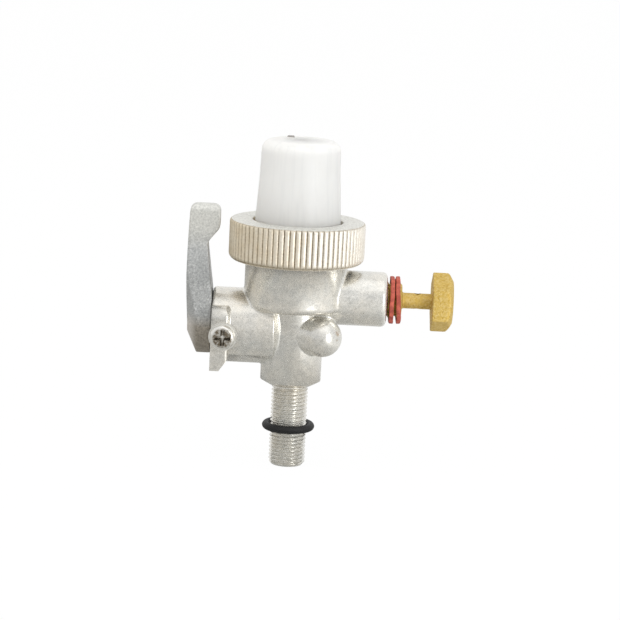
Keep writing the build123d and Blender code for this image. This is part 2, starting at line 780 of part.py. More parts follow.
# Two fibre washers that seal the hollow bolt; the outer one leans a little on the thread
inner_seal_x = outlet_end + seal_from_boss + seal_thickness / 2
lean = seal_d / 2 * sin(radians(seal_tilt))
outer_seal_x = inner_seal_x + seal_thickness + seal_gap + lean
for seal_name, seal_x, tilt in (
    ("outlet_washer_inner", inner_seal_x, 0),
    ("outlet_washer_outer", outer_seal_x, seal_tilt),
):
    with BuildPart() as seal:
        seal_dir = (cos(radians(tilt)), 0, sin(radians(tilt)))
        with BuildSketch(Plane(origin=(seal_x, 0, outlet_z), z_dir=seal_dir)):
            Circle(seal_d / 2)
            Circle(seal_hole_d / 2, mode=Mode.SUBTRACT)
        extrude(amount=seal_thickness / 2, both=True)
        fillet(seal.edges().filter_by(GeomType.CIRCLE).group_by(SortBy.RADIUS)[-1], seal_edge_r)
    seal.part.label = seal_name
    export_step(seal.part, "parts/" + seal_name + ".step")


# Rubber ring pushed on to the threaded stem
with BuildPart() as stem_ring:
    with BuildSketch(Plane.XZ):
        with Locations((stem_d / 2 + stem_ring_gap + stem_ring_section / 2, -stem_ring_drop)):
            Circle(stem_ring_section / 2)
    revolve(axis=Axis.Z)
stem_ring.part.label = "stem_ring"
export_step(stem_ring.part, "parts/stem_ring.step")
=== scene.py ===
# %% [markdown]
# # A fuel strainer tap
#
# This tap screws into the bottom of a fuel tank. Fuel comes down its threaded stem, past a
# quarter-turn valve, through a gauze strainer, and leaves by the side outlet with its hollow
# brass bolt. The milky cup under the knurled ring nut catches water and dirt.
#
# The solids come ready-made as a frame of CAD nodes at their real size. This lesson dresses
# them: it cuts real threads, softens cast edges, draws the knurl of the ring nut, and gives
# every surface a finish made of nodes. Each new piece sits exactly where its solid is, so the
# lever, the cup, the ring nut and the bolt can still move.

# %% Load the frame
from math import atan, cos, pi, radians, sin

import bmesh
import bpy
import numpy as np
from mathutils import Matrix, Vector


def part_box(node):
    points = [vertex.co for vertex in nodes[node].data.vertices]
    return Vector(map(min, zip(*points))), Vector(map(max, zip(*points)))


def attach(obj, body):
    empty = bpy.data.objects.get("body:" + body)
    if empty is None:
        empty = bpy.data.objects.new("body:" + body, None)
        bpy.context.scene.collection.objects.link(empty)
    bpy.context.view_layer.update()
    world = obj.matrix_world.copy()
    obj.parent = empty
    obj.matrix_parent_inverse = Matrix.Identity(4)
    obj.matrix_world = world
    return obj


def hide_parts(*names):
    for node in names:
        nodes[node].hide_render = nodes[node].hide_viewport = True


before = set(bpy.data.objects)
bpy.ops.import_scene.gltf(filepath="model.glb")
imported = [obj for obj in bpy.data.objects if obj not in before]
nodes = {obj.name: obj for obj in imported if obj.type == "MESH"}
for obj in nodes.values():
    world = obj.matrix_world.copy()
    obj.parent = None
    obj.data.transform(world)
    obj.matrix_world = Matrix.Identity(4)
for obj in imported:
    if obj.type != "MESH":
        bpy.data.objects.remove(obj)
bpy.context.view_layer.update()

mm = 0.001
print("nodes in the frame:", len(nodes))

# %% [markdown]
# ## The camera
#
# The photograph was taken with a long lens from a little above. Four facts fix such a view:
# the height of the camera, its distance, how far it is rolled, and where the object stands in
# the picture. The last one is a lens shift, so that the perspective stays as it is. The axes
# of the camera are worked out from the angles and written straight into its matrix, because a
# rolled camera is awkward to aim with a constraint.

# %% Camera
image_size = 620
pixels_per_mm = 2.607
target_pixel = (292.9, 326.1)
camera_target = Vector((0, 0, 22.5 * mm))
camera_distance = 950 * mm
camera_elevation = radians(11.2)
camera_roll = radians(2.8)

forward = Vector((0, cos(camera_elevation), -sin(camera_elevation)))
upward = Vector((0, sin(camera_elevation), cos(camera_elevation)))
rightward = Vector((1, 0, 0))
camera_x = rightward * cos(camera_roll) + upward * sin(camera_roll)
camera_y = upward * cos(camera_roll) - rightward * sin(camera_roll)

camera_data = bpy.data.cameras.new("camera")
camera_data.angle = 2 * atan(image_size / 2 / (pixels_per_mm * camera_distance / mm))
camera_data.shift_x = 0.5 - target_pixel[0] / image_size
camera_data.shift_y = target_pixel[1] / image_size - 0.5
camera_data.clip_start = 50 * mm
camera_data.clip_end = 50
camera = bpy.data.objects.new("camera", camera_data)
turned = Matrix((camera_x, camera_y, -forward)).transposed().to_4x4()
camera.matrix_world = Matrix.Translation(camera_target - forward * camera_distance) @ turned
bpy.context.scene.collection.objects.link(camera)
bpy.context.scene.camera = camera
bpy.context.scene.view_settings.view_transform = "Standard"
print("field of view in degrees:", round(camera_data.angle * 180 / pi, 2))

# %% [markdown]
# ## Grids of points
#
# Every new surface here is a function of two parameters, worked out for all points at once.
# The first helper takes the points as an array of rows and columns, joins neighbours into
# quads, and closes the surface where a row or a column runs round. The others weld poles and
# seams and turn the faces outwards together. A closed surface has no open edge left.

# %% A mesh from a grid of points
def grid_mesh(name, points, rows_wrap=False):
    """Quads (r, c), (r, c+1), (r+1, c+1), (r+1, c) over a grid whose columns run round."""
    rows, columns = points.shape[:2]
    row = np.arange(rows if rows_wrap else rows - 1)[:, None]
    column = np.arange(columns)[None, :]
    above = (row + 1) % rows
    beside = (column + 1) % columns
    corners = [
        row * columns + column,
        row * columns + beside,
        above * columns + beside,
        above * columns + column,
    ]
    quads = np.stack(np.broadcast_arrays(*corners), axis=-1).reshape(-1, 4)
    mesh = bpy.data.meshes.new(name)
    mesh.vertices.add(rows * columns)
    mesh.vertices.foreach_set("co", points.astype(np.float32).ravel())
    mesh.loops.add(quads.size)
    mesh.loops.foreach_set("vertex_index", quads.astype(np.int32).ravel())
    mesh.polygons.add(len(quads))
    mesh.polygons.foreach_set("loop_start", np.arange(0, quads.size, 4, dtype=np.int32))
    mesh.update(calc_edges=True)
    return mesh


# %% Closing a mesh
weld_distance = 0.002 * mm


def finished_mesh(build, mesh):
    """Weld the doubles, turn the faces outwards, and write the result into the mesh."""
    bmesh.ops.remove_doubles(build, verts=build.verts, dist=weld_distance)
    bmesh.ops.recalc_face_normals(build, faces=build.faces)
    build.to_mesh(mesh)
    print(mesh.name, "open edges:", sum(not edge.is_manifold for edge in build.edges))
    build.free()
    return mesh


def closed_grid(name, points, rows_wrap=False):
    """The mesh of a grid of points, with its poles and seams welded."""
    mesh = grid_mesh(name, points, rows_wrap)
    build = bmesh.new()
    build.from_mesh(mesh)
    return finished_mesh(build, mesh)


print("points this close are welded, in mm:", weld_distance / mm)

# %% [markdown]
# ## Pieces on their bodies
#
# The object moves, so each piece belongs to a body that carries it. A new piece is placed at
# the origin with its shape already in the right spot, says which body it rides on, and takes
# the place of its CAD solid. A solid that already looks right only gets a finish.

# %% New pieces and dressed solids
def piece(mesh, body, material, replaces, smooth_angle):
    """An object at the origin that rides on a body, shaded smooth across all but sharp edges."""
    made = bpy.data.objects.new(mesh.name, mesh)
    bpy.context.scene.collection.objects.link(made)
    mesh.shade_smooth()
    mesh.set_sharp_from_angle(angle=radians(smooth_angle))
    mesh.materials.clear()
    mesh.materials.append(material)
    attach(made, body)
    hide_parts(replaces)
    print(mesh.name, "has", len(mesh.polygons), "faces")


def dress(node, material):
    """A CAD node that keeps its shape: it only gets a finish, and a name for its slot."""
    solid = nodes[node]
    solid.data.materials.clear()
    solid.data.materials.append(material)
    print(node, "is finished in", material.name)


# %% [markdown]
# ## Turned and threaded forms
#
# A turned piece is a profile carried round an axis. A thread is the same profile with its
# radius lowered in a groove that advances by one pitch for each turn. For a right-handed
# thread the phase of the groove is height / pitch - angle / (2 pi), and the groove itself is
# a trapezium: a narrow flat crest, two flanks, and a slightly wider root. Near its ends the
# depth fades out, as where a die starts and stops.

# %% Profiles round an axis
def around(radius, height, columns):
    """Points (r cos a, r sin a, h) for every height of a profile and every angle.

    The radius has one value for each height, or one for each height and angle.
    """
    angle = np.linspace(0, 2 * pi, columns, endpoint=False)
    radius = radius.reshape(len(height), -1) + 0 * angle
    tall = height[:, None] + 0 * angle
    return np.stack([radius * np.cos(angle), radius * np.sin(angle), tall], axis=-1)


def rounded_profile(corners, steps=5):
    """A closed outline of (r, h, rounding) corners, each rounded by an arc between its sides."""
    points = []
    count = len(corners)
    for index, (r, h, rounding) in enumerate(corners):
        here = np.array((r, h))
        before = np.array(corners[index - 1][:2]) - here
        after = np.array(corners[(index + 1) % count][:2]) - here
        if rounding <= 0:
            points.append(here)
            continue
        before /= np.linalg.norm(before)
        after /= np.linalg.norm(after)
        half = np.arccos(np.clip(before @ after, -1, 1)) / 2
        reach = rounding / np.tan(half)
        centre = here + (before + after) / np.linalg.norm(before + after) * rounding / np.sin(half)
        start = here + before * reach - centre
        end = here + after * reach - centre
        for share in np.linspace(0, 1, steps):
            ray = start * (1 - share) + end * share
            points.append(centre + ray / np.linalg.norm(ray) * rounding)
    return np.array(points)


def densified(outline, longest):
    """The same closed outline with extra points, so that no step is longer than the limit."""
    points = []
    for here, there in zip(outline, np.roll(outline, -1, axis=0)):
        pieces = max(1, int(np.ceil(np.linalg.norm(there - here) / longest)))
        for step in range(pieces):
            points.append(here + (there - here) * step / pieces)
    return np.array(points)


square_corners = [(1.0, 1.0), (2.0, 1.0), (2.0, 2.0), (1.0, 2.0)]
square = rounded_profile([(r, h, 0.2) for r, h in square_corners])
print("points in a rounded square:", len(square), "and densified:", len(densified(square, 0.1)))

# %% Groove of a thread
thread_pitch = 1.5 * mm
thread_depth = 0.61 * thread_pitch
crest_share = 0.14
root_share = 0.24
rows_per_pitch = 12
bore_chamfer = 0.3 * mm


def groove(phase):
    """0 on the crest and 1 in the root, with straight flanks, for phases of one pitch each."""
    off_crest = np.abs((phase + 0.5) % 1.0 - 0.5) * 2
    return np.clip((off_crest - crest_share) / (1 - crest_share - root_share), 0, 1)


def threaded_tube(length, major_r, bore_r, end_chamfer, start_r, fade_top, columns=112):
    """A tube from height 0 down to -length: the bore, the end face, and the thread back up.

    The two open rims at height 0 have the radii bore_r and start_r, to be sewn to a solid.
    Both ends of the thread stay under slopes of 45 degrees, and its depth fades out at the top.
    """
    mouth_r = bore_r + bore_chamfer
    bore = np.array([[bore_r, 0], [bore_r, bore_chamfer - length], [mouth_r, -length]])
    face_r = np.linspace(mouth_r, major_r - end_chamfer, 4)[1:-1]
    face = np.stack([face_r, np.full(len(face_r), -length)], axis=1)
    inside = np.concatenate([bore, face])
    count = int(length / thread_pitch * rows_per_pitch)
    height = np.linspace(-length, 0, count)
    angle = np.linspace(0, 2 * pi, columns, endpoint=False)
    phase = height[:, None] / thread_pitch - angle[None, :] / (2 * pi)
    depth = thread_depth * groove(phase)
    depth *= np.clip(-height / fade_top, 0, 1)[:, None]
    envelope = np.minimum(major_r, major_r - end_chamfer + (height + length))
    envelope = np.minimum(envelope, start_r + np.maximum(-height, 0))
    outside = np.minimum(major_r - depth, envelope[:, None])
    inner_rows = around(inside[:, 0], inside[:, 1], columns)
    return np.concatenate([inner_rows, around(outside, height, columns)])


print("thread depth in mm:", round(thread_depth / mm, 3))

# %% [markdown]
# ## Sewing a thread to a casting
#
# The CAD stem is a plain cylinder. A merged copy of the solid is cut off square with a bisect,
# which leaves two rims: the outside of the stem and its bore. The threaded tube has the same
# two rims, so bridging them pair by pair gives one closed shell with no hidden faces. A solid
# end with a single rim is sewn on in the same way.

# %% Cut and sew
seam_gap = 0.25 * mm
rim_search = 1 * mm


def merged_copy(node):
    """A bmesh copy of a CAD node with its loose triangles welded together."""
    build = bmesh.new()
    build.from_mesh(nodes[node].data)
    bmesh.ops.remove_doubles(build, verts=build.verts, dist=weld_distance)
    return build


def cut_away(build, point, towards):
    """Remove what lies beyond a plane through a point, on the side that towards points to."""
    everything = build.verts[:] + build.edges[:] + build.faces[:]
    bmesh.ops.bisect_plane(build, geom=everything, plane_co=point, plane_no=towards, clear_outer=True)


def sew_on(build, points, place, between_r):
    """Add a grid at a place and bridge its rims, inside and outside between_r, to the cut's."""
    end = grid_mesh("end", points)
    end.transform(place)
    build.from_mesh(end)
    bpy.data.meshes.remove(end)
    back = place.inverted()
    rims = {True: [], False: []}
    for edge in build.edges:
        near = back @ edge.verts[0].co
        if edge.is_boundary and abs(near.z) < rim_search:
            rims[near.xy.length > between_r].append(edge)
    for rim in rims.values():
        if rim:
            bmesh.ops.bridge_loops(build, edges=rim)


print("gap bridged by a seam in mm:", seam_gap / mm)

# %% [markdown]
# ## Finishes from nodes
#
# A finish is a Principled shader whose colour, roughness and normal vary over the surface.
# To keep the sums readable, a node's output is wrapped in a small class, and Python's own
# signs on it add Math nodes. Everything else goes through one method that makes a node from
# its type, its settings and its inputs. Patterns read Object coordinates, which are metres
# here, so a noise of scale 1000 has features of about a millimetre.

# %% Shader maths
class Socket:
    """A node's output that can be calculated with."""

    def __init__(self, maker, output):
        self.maker = maker
        self.output = output

    def calculate(self, operation, first, second=0.0):
        return self.maker.node("Math", {"operation": operation}, {0: first, 1: second})

    def __add__(self, other):
        return self.calculate("ADD", self, other)

    def __sub__(self, other):
        return self.calculate("SUBTRACT", self, other)

    def __rsub__(self, other):
        return self.calculate("SUBTRACT", other, self)

    def __mul__(self, other):
        return self.calculate("MULTIPLY", self, other)

    def __pow__(self, other):
        return self.calculate("POWER", self, other)

    def __abs__(self):
        return self.calculate("ABSOLUTE", self)

    __radd__ = __add__
    __rmul__ = __mul__


print("signs that add a Math node: + - * ** and abs")


# %% Making nodes
class NodeMaker:
    """Adds nodes to a tree; place is the coordinate that its patterns read."""

    def __init__(self, tree, coordinate):
        self.tree = tree
        self.place = self.node("TexCoord", output=coordinate)

    def node(self, kind, settings=None, inputs=None, output=0):
        """Add a node, set its settings first, then its sockets, and return one output."""
        made = self.tree.nodes.new("ShaderNode" + kind)
        for key, value in (settings or {}).items():
            setattr(made, key, value)
        for key, value in (inputs or {}).items():
            if isinstance(value, Socket):
                self.tree.links.new(value.output, made.inputs[key])
            else:
                made.inputs[key].default_value = value
        return Socket(self, made.outputs[output])

    def noise(self, scale, detail=2.0, rough=0.5, warp=0.0, vector=None):
        """A soft random value from 0 to 1; scale is in features per metre."""
        inputs = {"Scale": scale, "Detail": detail, "Roughness": rough, "Distortion": warp}
        inputs["Vector"] = vector or self.place
        return self.node("TexNoise", {}, inputs)

    def stretched(self, factors):
        """Object coordinates scaled by a factor along each axis, for streaks."""
        return self.node("VectorMath", {"operation": "MULTIPLY"}, {0: self.place, 1: factors})

    def axis(self, name):
        """One of the X, Y and Z coordinates, in metres."""
        return self.node("SeparateXYZ", {}, {0: self.place}, name)

    def step(self, value, low, high):
        """0 below low and 1 above high, with a straight rise between them."""
        inputs = {"Value": value, "From Min": low, "From Max": high}
        return self.node("MapRange", {"clamp": True}, inputs)

    def spread(self, value, reach=0.15):
        """Noise keeps near 0.5, so the part within reach of it is stretched to 0 to 1."""
        return self.step(value, 0.5 - reach, 0.5 + reach)

    def mix(self, factor, first, second):
        """The first colour where the factor is 0, and the second where it is 1."""
        return self.node("Mix", {"data_type": "RGBA"}, {0: factor, 6: first, 7: second}, 2)

    def end_in(self, shaded, output_node):
        """Link the last node of the tree to the surface that its output shows."""
        self.tree.links.new(shaded.output, self.tree.nodes[output_node].inputs["Surface"])


print("ways to add nodes:", [name for name in vars(NodeMaker) if not name.startswith("_")])


# %% A finish
class Finish(NodeMaker):
    """A material on a Principled shader; constants go straight into the shader's sockets."""

    def __init__(self, name, constants):
        self.material = bpy.data.materials.new(name)
        self.material.use_nodes = True
        super().__init__(self.material.node_tree, "Object")
        self.shader = self.tree.nodes["Principled BSDF"]
        for socket, value in constants.items():
            self.shader.inputs[socket].default_value = value

    def feed(self, socket, value):
        """Link a varying value to a socket of the shader."""
        self.tree.links.new(value.output, self.shader.inputs[socket])

    def bump(self, height, strength, distance):
        """Tilt the normal by a height; distance is how far a height of 1 stands out."""
        inputs = {"Height": height, "Strength": strength, "Distance": distance}
        return self.node("Bump", {}, inputs)


def colour(red, green, blue):
    """A linear colour with full alpha."""
    return (red, green, blue, 1.0)


print("a finish can also:", [name for name in vars(Finish) if not name.startswith("_")])

# %% [markdown]
# ## Cast metal
#
# The body is a pressure die casting that was tumbled clean: a pale, slightly warm grey with a
# fine sparkle, cloudy patches, and a few pores. Three sizes of noise do this. The largest
# shifts the tone over centimetres, the middle one mottles it, and the finest is the grain
# that also breaks up the highlight. The lever comes from a rougher mould, with a wormy skin.

# %% Cast body
def cast_finish():
    """Cloudy, grainy metal between a cool and a warm grey, with sparse dark pores."""
    cool, warm = colour(0.82, 0.82, 0.79), colour(0.90, 0.86, 0.78)
    speck, pore = colour(0.24, 0.23, 0.20), colour(0.13, 0.11, 0.09)
    finish = Finish("die_cast", {"Metallic": 0.85})
    clouds = finish.noise(70, 3, 0.55)
    mottle = finish.noise(420, 4, 0.6)
    grain = finish.noise(1500, 3, 0.7)
    tint = finish.mix(finish.spread(clouds * 0.7 + mottle * 0.3, 0.14), cool, warm)
    light = finish.spread(mottle * 0.4 + grain * 0.6, 0.14)
    shaded = finish.mix((1 - light) * 0.36, tint, speck)
    pores = finish.step(finish.noise(1300, 1, 0.4), 0.80, 0.83)
    finish.feed("Base Color", finish.mix(pores, shaded, pore))
    finish.feed("Roughness", 0.27 + (mottle - 0.5) * 0.2 + (grain - 0.5) * 0.3)
    height = mottle * 0.4 + finish.noise(900, 1, 0.4) * 0.6 - pores * 0.8
    finish.feed("Normal", finish.bump(height, 0.6, 0.02 * mm))
    return finish


cast = cast_finish()
print(cast.material.name, "nodes:", len(cast.tree.nodes))

# %% Cast lever
lever_low, lever_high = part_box("lever")
head_low_z = lever_high.z - 18 * mm
head_fade = 9 * mm
hub_high_z = lever_low.z + 16.5 * mm
hub_fade = 5 * mm
# Where the painted light along the hub's left edge ends.
painted_light_until_x = lever_low.x + 2.2 * mm
painted_light_fade = 2.2 * mm
foot_low_z = 40 * mm
foot_high_z = 50 * mm


def lever_finish():
    """Rough casting: a pale head, a grey arm with wormy furrows at its foot, and a hub in painted
    brown shade with painted light along its left edge.
    """
    finish = Finish("rough_cast", {"Metallic": 0.75})
    z = finish.axis("Z")
    clouds = finish.noise(90, 3, 0.55)
    grain = finish.noise(1350, 3, 0.7)
    speckle = finish.spread(grain)
    mottle = finish.spread(grain * 0.7 + clouds * 0.3, 0.12)
    grey = finish.mix(mottle, colour(0.34, 0.35, 0.35), colour(0.62, 0.63, 0.62))
    pale = finish.mix(speckle, colour(0.55, 0.55, 0.52), colour(0.78, 0.78, 0.74))
    head = finish.step(z, head_low_z, head_low_z + head_fade)
    toned = finish.mix(head, grey, pale)
    # Painted shade: the hub's lower part is brown, with a lighter strip of painted light on its left.
    hub_painted_shade = finish.mix(speckle, colour(0.22, 0.20, 0.17), colour(0.42, 0.38, 0.32))
    hub_painted_light = finish.mix(speckle, colour(0.50, 0.47, 0.43), colour(0.66, 0.63, 0.58))
    outer = 1 - finish.step(finish.axis("X"), painted_light_until_x, painted_light_until_x + painted_light_fade)
    hub = 1 - finish.step(z, hub_high_z - hub_fade, hub_high_z)
    toned = finish.mix(hub, toned, finish.mix(outer, hub_painted_shade, hub_painted_light))
    worms = finish.noise(780, 2, 0.55, 1.6)
    foot = (1 - finish.step(z, foot_low_z, foot_high_z)) * (1 - hub)
    furrow = (1 - finish.step(abs(worms - 0.5), 0.0, 0.055)) * (foot * 0.8 + 0.2)
    finish.feed("Base Color", finish.mix(furrow * 0.55, toned, colour(0.15, 0.15, 0.15)))
    finish.feed("Roughness", 0.50 + (grain - 0.5) * 0.25)
    finish.feed("Normal", finish.bump(grain * 0.5 - furrow, 0.8, 0.07 * mm))
    return finish


rough_cast = lever_finish()
print(rough_cast.material.name, "nodes:", len(rough_cast.tree.nodes))

# %% [markdown]
# ## The body and its tank thread
#
# The body keeps the CAD form from the shoulder up. Below it, the plain stem gives way to a
# real M14 x 1.5 thread that starts right under the shoulder and ends in a small chamfer.

# %% Body
stem_r = 7.0 * mm
stem_bore_r = 3.5 * mm
stem_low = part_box("body")[0].z
stem_cut = -0.05 * mm

stem_tube = threaded_tube(
    length=-stem_low + stem_cut - seam_gap,
    major_r=stem_r,
    bore_r=stem_bore_r,
    end_chamfer=1.1 * mm,
    start_r=stem_r,
    fade_top=1.2 * mm,
)
body_build = merged_copy("body")
cut_away(body_build, (0, 0, stem_cut), (0, 0, -1))
stem_place = Matrix.Translation((0, 0, stem_cut - seam_gap))
sew_on(body_build, stem_tube, stem_place, (stem_r + stem_bore_r) / 2)
body_mesh = finished_mesh(body_build, bpy.data.meshes.new("body_casting"))
piece(body_mesh, "body", cast.material, "body", smooth_angle=28)

# %% [markdown]
# ## The ring nut
#
# The ring nut is turned from bar and rolled with 75 straight round ridges. Its outline is a
# closed profile round the axis. On the outside, the radius also dips between the ridges: a
# ridge is half an ellipse across one pitch, so the valleys come out sharp, as rolled ones
# are. Because the dip is limited by the rounded outline, the ridges end in pointed arches.

# %% Outline of the ring nut
ring_low, ring_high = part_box("ring_nut")
ridge_count = 75
columns_per_ridge = 14
ridge_depth = 0.75 * mm
ring_r = 25.9 * mm
hole_r = 17.2 * mm
collar_r = 22.05 * mm
lip_z = ring_high.z - 2.8 * mm
longest_ring_step = 0.8 * mm

ring_corners = [
    (collar_r, ring_low.z, 0.3 * mm),
    (ring_r, ring_low.z, 2.6 * mm),
    (ring_r, ring_high.z, 1.2 * mm),
    (hole_r, ring_high.z, 0.35 * mm),
    (hole_r, lip_z, 0.1 * mm),
    (collar_r, lip_z, 0.1 * mm),
]
ring_outline = densified(rounded_profile(ring_corners, steps=7), longest_ring_step)
print("points in the outline:", len(ring_outline))

# %% Knurled surface
ring_columns = ridge_count * columns_per_ridge
ring_angle = np.linspace(0, 2 * pi, ring_columns, endpoint=False)
across = (ring_angle * ridge_count / (2 * pi)) % 1.0 * 2 - 1
ridge_dip = ridge_depth * (1 - np.sqrt(np.clip(1 - across**2, 0, 1)))
outer_limit = ring_r - ridge_dip
ring_radius = np.minimum(ring_outline[:, :1], outer_limit[None, :])
ring_points = around(ring_radius, ring_outline[:, 1], ring_columns)
ring_mesh = closed_grid("knurled_ring", ring_points, rows_wrap=True)

# %% [markdown]
# The ring nut has a champagne tint: gold and darker on its left, as painted shade with a warm painted
# reflection, and pale on its right, as painted light. In the knurl's valleys the colour darkens,
# partly as dirt and partly as painted shade, where the distance from the axis is less than the
# crest's, but only on the outside. The flat top face keeps the fine circles of the lathe tool, as a
# bump on the same distance.

# %% Ring nut finish
lathe_pitch = 0.35 * mm
painted_shade_until_x = -16 * mm
painted_light_from_x = 24 * mm


def ring_finish():
    """Champagne metal, gold on one side as painted shade and pale on the other as painted light, with
    dirt and painted shade in the knurl's valleys.
    """
    finish = Finish("champagne_metal", {"Metallic": 0.85})
    x, y, z = (finish.axis(name) for name in "XYZ")
    distance = (x * x + y * y) ** 0.5
    valley = 1 - finish.step(distance, ring_r - 0.70 * ridge_depth, ring_r - 0.15 * ridge_depth)
    outside = finish.step(distance, ring_r - 1.6 * ridge_depth, ring_r - 1.3 * ridge_depth)
    on_top = finish.step(z, ring_high.z - 0.25 * mm, ring_high.z - 0.1 * mm)
    clouds = finish.noise(110, 3, 0.6)
    grain = finish.noise(1300, 3, 0.7)
    gold = finish.mix(finish.spread(clouds), colour(0.84, 0.73, 0.55), colour(0.93, 0.85, 0.70))
    pale = finish.mix(finish.spread(clouds), colour(0.88, 0.84, 0.76), colour(0.96, 0.94, 0.89))
    # Painted shade and light: gold and darker on the left, pale on the right.
    bright = finish.mix(finish.step(x + clouds * 12 * mm, painted_shade_until_x, painted_light_from_x), gold, pale)
    bright = finish.mix(finish.step(grain, 0.42, 0.66) * 0.25, bright, colour(0.50, 0.43, 0.32))
    grey = finish.mix(finish.spread(grain), colour(0.86, 0.86, 0.82), colour(0.62, 0.61, 0.57))
    grey_top = finish.mix(on_top, bright, grey)
    patches = 0.45 + 0.5 * finish.spread(grain * 0.5 + clouds * 0.5, 0.1)
    # Dirt and painted shade in the knurl's valleys, on the outside only.
    dirt_and_painted_shade = valley * outside * (1 - on_top) * patches
    finish.feed("Base Color", finish.mix(dirt_and_painted_shade, grey_top, colour(0.30, 0.24, 0.15)))
    finish.feed("Roughness", 0.36 + grain * 0.25 + on_top * 0.08)
    circles = finish.node("Math", {"operation": "SINE"}, {0: distance * (2 * pi / lathe_pitch)})
    finish.feed("Normal", finish.bump(grain * 0.8 + circles * on_top * 0.12, 0.6, 0.04 * mm))
    return finish


champagne = ring_finish()
piece(ring_mesh, "ring_nut", champagne.material, "ring_nut", smooth_angle=40)

# %% [markdown]
# ## The sediment cup
#
# The cup is a moulded shell: one closed profile that runs over the outside and back through
# the inside. The mould was filled through a small gate on the closed end, and its stub is
# raised in the same grid, where points lie within the stub's radius. So the crown's rows are
# close together. The long flanks bend very slightly, as an arc with a wide radius.

# %% Sizes of the cup
cup_low, cup_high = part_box("sediment_cup")
gate_height = 0.8 * mm
crown_z = cup_high.z - gate_height
gate_place = (-4.2 * mm, 5.0 * mm)
gate_r = 1.45 * mm
gate_flank = 0.2 * mm
cup_wall = 1.6 * mm
crown_rounding = 4.0 * mm
flank_rounding = 40 * mm
flange_r = 20.8 * mm
root_r = 16.45 * mm
mid_r = 15.3 * mm
crown_r = 14.9 * mm
flange_z = cup_low.z + 2.5 * mm
mid_z = flange_z + 20 * mm
longest_cup_step = 1.2 * mm
hair = 0.01 * mm
crown_row_count = 45
cup_columns = 160
print("height of the cup in mm:", round((cup_high.z - cup_low.z) / mm, 2))

# %% Outline of the cup
cup_corners = [
    (0.0, crown_z, 0),
    (crown_r, crown_z, crown_rounding),
    (mid_r, mid_z, flank_rounding),
    (root_r, flange_z, 0.5 * mm),
    (flange_r, flange_z, 0.3 * mm),
    (flange_r, cup_low.z, 0.3 * mm),
    (root_r - cup_wall, cup_low.z, 0.2 * mm),
    (mid_r - cup_wall, mid_z, flank_rounding),
    (crown_r - cup_wall, crown_z - cup_wall, crown_rounding - cup_wall),
    (0.0, crown_z - cup_wall, 0),
]
cup_outline = densified(rounded_profile(cup_corners, steps=9)[:-1], longest_cup_step)
on_crown = np.isclose(cup_outline[:, 1], crown_z)
cup_outline = cup_outline[(cup_outline[:, 0] > hair) & ~on_crown]
crown_rows = np.linspace(0, crown_r - crown_rounding, crown_row_count)
crown_outline = np.stack([crown_rows, np.full(len(crown_rows), crown_z)], axis=1)
pole_in = np.array([[0.0, crown_z - cup_wall]])
cup_outline = np.concatenate([crown_outline, cup_outline, pole_in])
print("points in the outline:", len(cup_outline))

# %% Cup surface and its gate
cup_points = around(cup_outline[:, 0], cup_outline[:, 1], cup_columns)
from_gate = np.hypot(cup_points[..., 0] - gate_place[0], cup_points[..., 1] - gate_place[1])
gate_rise = gate_height * np.clip((gate_r - from_gate) / gate_flank, 0, 1)
cup_points[..., 2] += np.where(cup_points[..., 2] > crown_z - hair, gate_rise, 0)
cup_mesh = closed_grid("milky_cup", cup_points)

# %% [markdown]
# The plastic is milky: light goes in, scatters and comes out elsewhere, so the shader gets a
# little transmission and much subsurface scattering. What is behind it low down shows only as
# a cooler shade, which the finish adds. The mould left faint upright lines, which are a noise
# that is stretched along Z, and the gate's end is a dark mark.

# %% Milky plastic
def milky_finish():
    """White translucent plastic, greyer towards the ring nut, with a dark moulding gate."""
    finish = Finish(
        "milky_plastic",
        {
            "Transmission Weight": 0.10,
            "Subsurface Weight": 0.7,
            "Subsurface Radius": (1.0, 0.95, 0.9),
            "Subsurface Scale": 12 * mm,
            "IOR": 1.49,
        },
    )
    z = finish.axis("Z")
    low = 1 - finish.step(z, flange_z - 1 * mm, mid_z)
    clouds = finish.noise(120, 2, 0.5)
    streaks = finish.noise(1.0, 3, 0.6, vector=finish.stretched((420, 420, 9)))
    white = finish.mix(clouds, colour(0.88, 0.86, 0.81), colour(0.94, 0.92, 0.87))
    shaded = finish.mix(low ** 1.5 * 0.58, white, colour(0.50, 0.49, 0.47))
    lined = finish.mix(finish.step(streaks, 0.52, 0.66) * 0.10, shaded, colour(0.50, 0.50, 0.50))
    gate = finish.step(z, crown_z + 0.1 * mm, crown_z + 0.4 * mm)
    finish.feed("Base Color", finish.mix(gate, lined, colour(0.20, 0.19, 0.18)))
    finish.feed("Roughness", 0.36 + clouds * 0.1)
    finish.feed("Normal", finish.bump(streaks * low, 0.25, 0.05 * mm))
    return finish


milky = milky_finish()
piece(cup_mesh, "cup", milky.material, "sediment_cup", smooth_angle=50)

# %% [markdown]
# ## The lever
#
# The lever is a casting too, and its edges are never sharp. A bevel would need clean edges,
# and the solid's faces meet at awkward corners, so the copy is turned into small even cells
# by a voxel remesh and then smoothed: every edge gets the same soft round, as if tumbled.

# %% Lever surface
lever_voxel = 0.28 * mm


def evaluated(mesh, modifiers):
    """A new mesh: the given one after a list of (modifier type, settings)."""
    carrier = bpy.data.objects.new("carrier", mesh)
    bpy.context.scene.collection.objects.link(carrier)
    for kind, settings in modifiers:
        modifier = carrier.modifiers.new(kind.lower(), kind)
        for key, value in settings.items():
            setattr(modifier, key, value)
    settled = carrier.evaluated_get(bpy.context.evaluated_depsgraph_get())
    made = bpy.data.meshes.new_from_object(settled)
    bpy.data.objects.remove(carrier)
    return made


lever_raw = finished_mesh(merged_copy("lever"), bpy.data.meshes.new("lever_raw"))
lever_mesh = evaluated(
    lever_raw,
    [
        ("REMESH", {"mode": "VOXEL", "voxel_size": lever_voxel, "adaptivity": 0.0}),
        ("SMOOTH", {"factor": 0.5, "iterations": 12}),
    ],
)
lever_mesh.name = "lever_casting"
piece(lever_mesh, "lever", rough_cast.material, "lever", smooth_angle=60)

